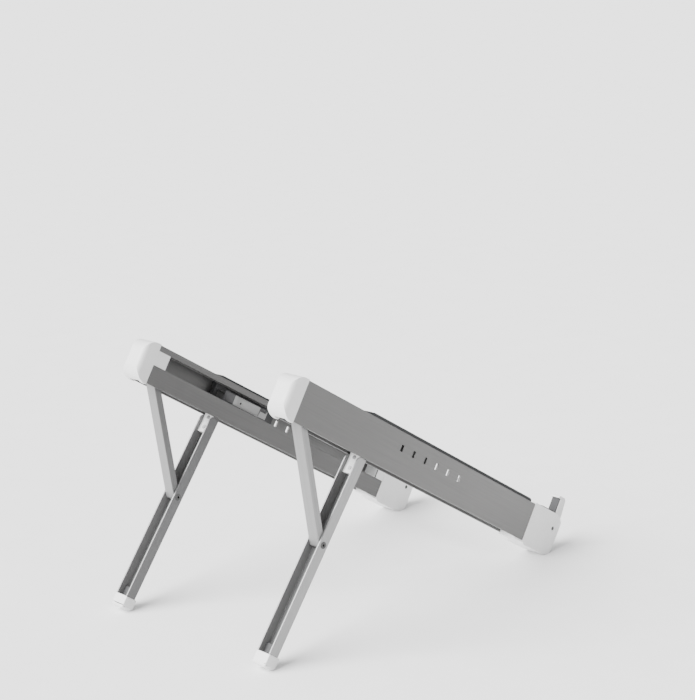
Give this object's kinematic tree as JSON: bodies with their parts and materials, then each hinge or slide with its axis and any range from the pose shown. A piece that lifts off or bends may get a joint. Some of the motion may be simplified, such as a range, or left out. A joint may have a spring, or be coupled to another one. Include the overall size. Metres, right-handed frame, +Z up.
{
  "type": "folding laptop stand",
  "caption": "Folding laptop stand of two slotted rails on folding legs, joined by a crossed link, with flip-up stops at the front and grip strips on top.",
  "frame": {"origin": "middle of the standing footprint, on the floor", "axes": "+Z up; the front stops are at -Y and the raised ends of the rails at +Y; +X is the left rail as seen from behind it facing the user"},
  "size_m": [0.168, 0.2998, 0.1865],
  "materials": {
    "rail": "anodised, fine grain along the rail",
    "leg": "anodised satin",
    "strut": "anodised satin",
    "cap": "moulded, fine texture",
    "slider": "moulded, fine texture",
    "lock": "moulded, fine texture",
    "grip": "matte",
    "pin": "satin",
    "link": "satin",
    "spring": "drawn wire"
  },
  "bodies": {
    "rail_r": {"rail_r": "rail", "rear_cap_r": "cap", "front_cap_r": "cap", "top_strip_r": "grip", "strut_pin_r": "pin", "stop_pin_r": "pin", "front_rivet_r": "pin"},
    "rail_l": {"rail_l": "rail", "rear_cap_l": "cap", "front_cap_l": "cap", "top_strip_l": "grip", "strut_pin_l": "pin", "stop_pin_l": "pin", "front_rivet_l": "pin"},
    "strut_r": {"strut_r": "strut"},
    "leg_r": {"leg_r": "leg", "leg_insert_r": "cap", "insert_screws_r": "pin", "leg_rivet_r": "pin", "leg_pin_r": "pin", "foot_r": "cap"},
    "slider_r": {"slider_r": "slider", "lock_spring_r": "spring"},
    "lock_r": {"lock_r": "lock"},
    "stop_r": {"stop_r": "cap", "stop_pad_r": "grip"},
    "strut_l": {"strut_l": "strut"},
    "leg_l": {"leg_l": "leg", "leg_insert_l": "cap", "insert_screws_l": "pin", "leg_rivet_l": "pin", "leg_pin_l": "pin", "foot_l": "cap"},
    "slider_l": {"slider_l": "slider", "lock_spring_l": "spring"},
    "lock_l": {"lock_l": "lock"},
    "stop_l": {"stop_l": "cap", "stop_pad_l": "grip"},
    "link_a": {"link_a": "link", "middle_rivet": "pin", "shoe_l": "slider", "shoe_pin_l": "pin"},
    "link_b": {"link_b": "link", "shoe_r": "slider", "shoe_pin_r": "pin"}
  },
  "joints": [
    {"name": "spread", "type": "hinge", "parent": "rail_r", "child": "link_a", "pos_m": [-0.0723, -0.0937, 0.04394], "axis": [0, -0.5557, 0.8314], "range_deg": [0, 69]},
    {"name": "cross", "type": "hinge", "parent": "link_a", "child": "link_b", "pos_m": [0, -0.07541, 0.05617], "axis": [0, 0.5557, -0.8314], "range_deg": [0, 138.11]},
    {"name": "span", "type": "hinge", "parent": "link_b", "child": "rail_l", "pos_m": [0.0723, -0.0937, 0.04394], "axis": [0, -0.5557, 0.8314], "range_deg": [0, 69.05]},
    {"name": "fold_r", "type": "hinge", "parent": "rail_r", "child": "strut_r", "pos_m": [-0.0755, 0.106, 0.17562], "axis": [-1, 0, 0], "range_deg": [0, 44.67]},
    {"name": "knee_r", "type": "hinge", "parent": "strut_r", "child": "leg_r", "pos_m": [-0.0755, 0.0942, 0.07054], "axis": [1, 0, 0], "range_deg": [0, 130.27]},
    {"name": "slider_r_slide", "type": "slide", "parent": "rail_r", "child": "slider_r", "axis": [0, -0.8314, -0.5557], "range_m": [0, 0.10312]},
    {"name": "lock_r_press", "type": "slide", "parent": "slider_r", "child": "lock_r", "axis": [1, 0, 0], "range_m": [0, 0.0013]},
    {"name": "stop_r_flip", "type": "hinge", "parent": "rail_r", "child": "stop_r", "pos_m": [-0.0755, -0.12917, 0.01783], "axis": [-1, 0, 0], "range_deg": [0, 90]},
    {"name": "fold_l", "type": "hinge", "parent": "rail_l", "child": "strut_l", "pos_m": [0.0755, 0.106, 0.17562], "axis": [-1, 0, 0], "range_deg": [0, 44.67]},
    {"name": "knee_l", "type": "hinge", "parent": "strut_l", "child": "leg_l", "pos_m": [0.0755, 0.0942, 0.07054], "axis": [1, 0, 0], "range_deg": [0, 130.27]},
    {"name": "slider_l_slide", "type": "slide", "parent": "rail_l", "child": "slider_l", "axis": [0, -0.8314, -0.5557], "range_m": [0, 0.10312]},
    {"name": "lock_l_press", "type": "slide", "parent": "slider_l", "child": "lock_l", "axis": [-1, 0, 0], "range_m": [0, 0.0013]},
    {"name": "stop_l_flip", "type": "hinge", "parent": "rail_l", "child": "stop_l", "pos_m": [0.0755, -0.12917, 0.01783], "axis": [-1, 0, 0], "range_deg": [0, 90]}
  ],
  "couplings": [
    {"joint": "cross", "follows": "spread", "ratio": 2},
    {"joint": "span", "follows": "spread", "ratio": 1},
    {"joint": "knee_r", "follows": "fold_r", "ratio": 2.9156},
    {"joint": "slider_r_slide", "follows": "fold_r", "m_per_rad": 0.13224},
    {"joint": "knee_l", "follows": "fold_l", "ratio": 2.9156},
    {"joint": "slider_l_slide", "follows": "fold_l", "m_per_rad": 0.13224}
  ]
}
